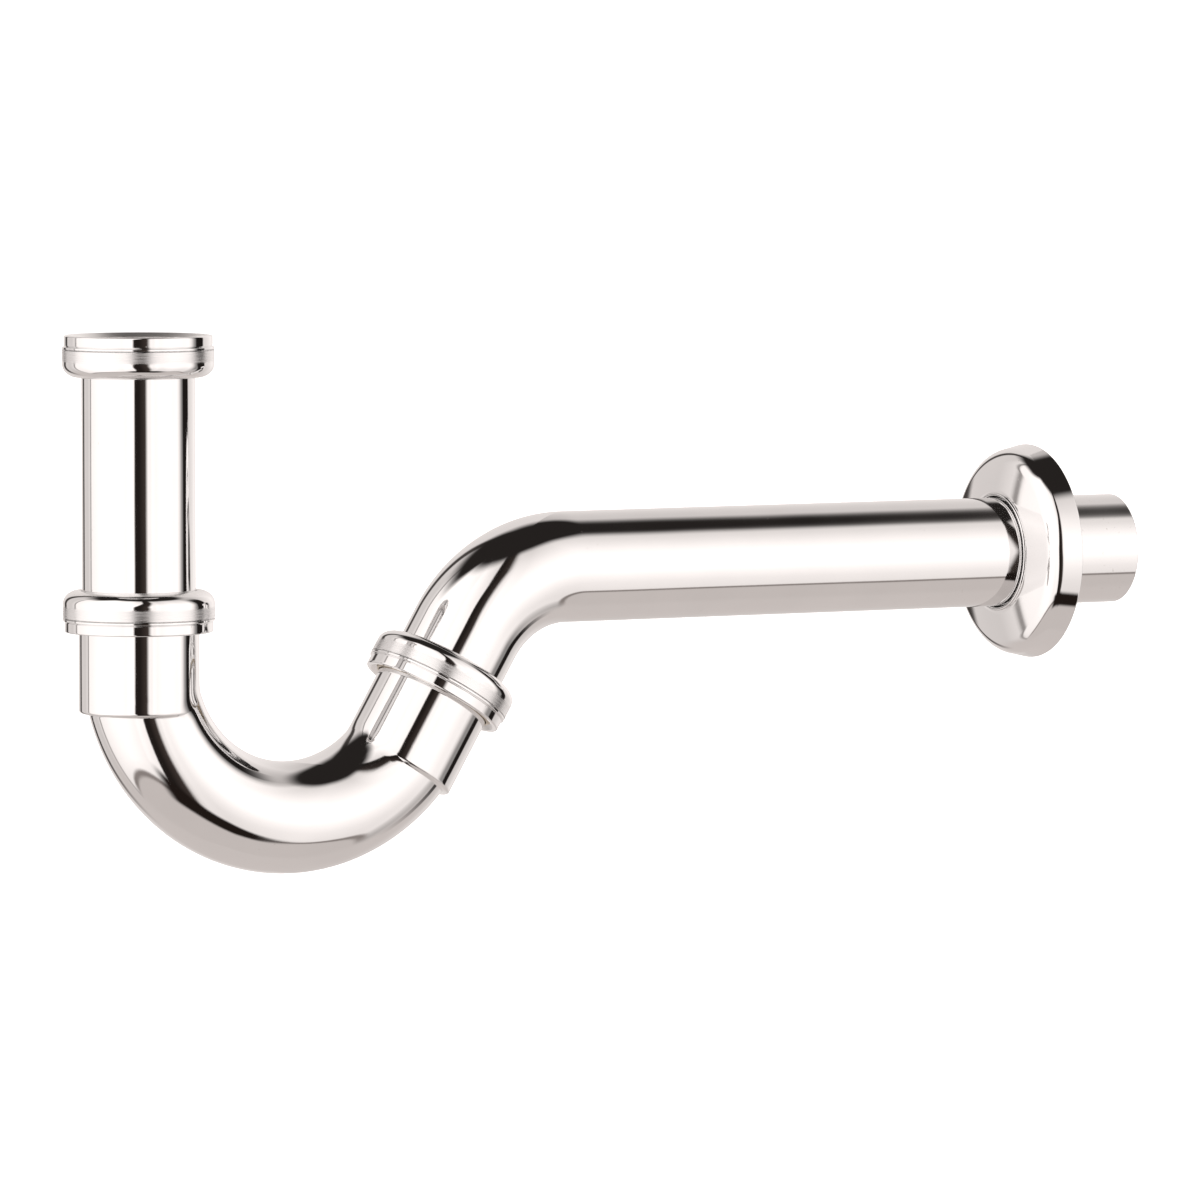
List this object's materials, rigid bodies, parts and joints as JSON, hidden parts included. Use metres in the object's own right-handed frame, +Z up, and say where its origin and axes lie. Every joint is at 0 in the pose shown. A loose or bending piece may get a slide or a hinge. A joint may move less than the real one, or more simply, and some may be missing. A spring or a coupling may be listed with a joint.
{
  "type": "p trap",
  "caption": "Chromed brass P trap: dip tube, U bend with water seal, bent wall tube and domed wall flange, joined by screwed union nuts with rubber seals.",
  "frame": {"origin": "centre of the inlet seat, on the dip tube's axis, at the top face of the flat gasket", "axes": "+Z up along the dip tube, out of the inlet; +X along the wall tube, towards the wall; the whole trap lies about the plane Y = 0"},
  "size_m": [0.3716, 0.069, 0.1681],
  "materials": {
    "chrome": "polished chrome plate on brass",
    "thread_brass": "machined brass",
    "seal_rubber": "matt moulded rubber",
    "slip_nylon": "satin natural nylon"
  },
  "bodies": {
    "inlet_pipe": {"dip_tube": "chrome", "inlet_gasket": "seal_rubber"},
    "inlet_ring": {"inlet_slip_ring": "slip_nylon"},
    "inlet_nut": {"inlet_union_nut": "chrome"},
    "bend_seal": {"bend_inlet_seal": "seal_rubber"},
    "bend": {"u_bend": "chrome", "bend_inlet_collar": "thread_brass", "bend_outlet_collar": "thread_brass"},
    "bend_ring": {"bend_inlet_slip_ring": "slip_nylon"},
    "bend_nut": {"bend_inlet_nut": "chrome"},
    "outlet_ring": {"bend_outlet_slip_ring": "slip_nylon"},
    "outlet_nut": {"bend_outlet_nut": "chrome"},
    "outlet_seal": {"bend_outlet_seal": "seal_rubber"},
    "wall_arm": {"wall_tube": "chrome"},
    "grip_ring": {"flange_grip_ring": "seal_rubber"},
    "flange": {"wall_flange": "chrome"}
  },
  "joints": [
    {"name": "inlet_ring_slide", "type": "slide", "parent": "inlet_pipe", "child": "inlet_ring", "axis": [0, 0, 1], "range_m": [-0.048, 0]},
    {"name": "inlet_nut_turn", "type": "hinge", "parent": "inlet_ring", "child": "inlet_nut", "pos_m": [0, 0, 0.0056], "axis": [0, 0, 1], "continuous": true},
    {"name": "height_adjust", "type": "slide", "parent": "inlet_pipe", "child": "bend_seal", "axis": [0, 0, 1], "range_m": [-0.014, 0.009]},
    {"name": "bend_swivel", "type": "hinge", "parent": "bend_seal", "child": "bend", "pos_m": [0, 0, -0.0942], "axis": [0, 0, 1], "continuous": true},
    {"name": "bend_ring_slide", "type": "slide", "parent": "bend", "child": "bend_ring", "axis": [0, 0, 1], "range_m": [0, 0.00693]},
    {"name": "bend_nut_unscrew", "type": "hinge", "parent": "bend_ring", "child": "bend_nut", "pos_m": [0, 0, -0.0856], "axis": [0, 0, 1], "range_deg": [0, 1080]},
    {"name": "outlet_ring_slide", "type": "slide", "parent": "bend", "child": "outlet_ring", "axis": [0.512, 0, 0.859], "range_m": [0, 0.00693]},
    {"name": "outlet_nut_unscrew", "type": "hinge", "parent": "outlet_ring", "child": "outlet_nut", "pos_m": [0.10078, 0, -0.10956], "axis": [0.512, 0, 0.859], "range_deg": [0, 1080]},
    {"name": "arm_turn", "type": "hinge", "parent": "bend", "child": "outlet_seal", "pos_m": [0.10078, 0, -0.10956], "axis": [0.512, 0, 0.859], "continuous": true},
    {"name": "arm_reach", "type": "slide", "parent": "outlet_seal", "child": "wall_arm", "axis": [0.512, 0, 0.859], "range_m": [-0.008, 0.012]},
    {"name": "flange_slide", "type": "slide", "parent": "wall_arm", "child": "grip_ring", "axis": [1, 0, 0], "range_m": [-0.15, 0.03]},
    {"name": "flange_turn", "type": "hinge", "parent": "grip_ring", "child": "flange", "pos_m": [0.3171, 0, -0.07005], "axis": [1, 0, 0], "continuous": true}
  ],
  "couplings": [
    {"joint": "bend_ring_slide", "follows": "bend_nut_unscrew", "m_per_rad": 0.00036749},
    {"joint": "outlet_ring_slide", "follows": "outlet_nut_unscrew", "m_per_rad": 0.00036749}
  ]
}
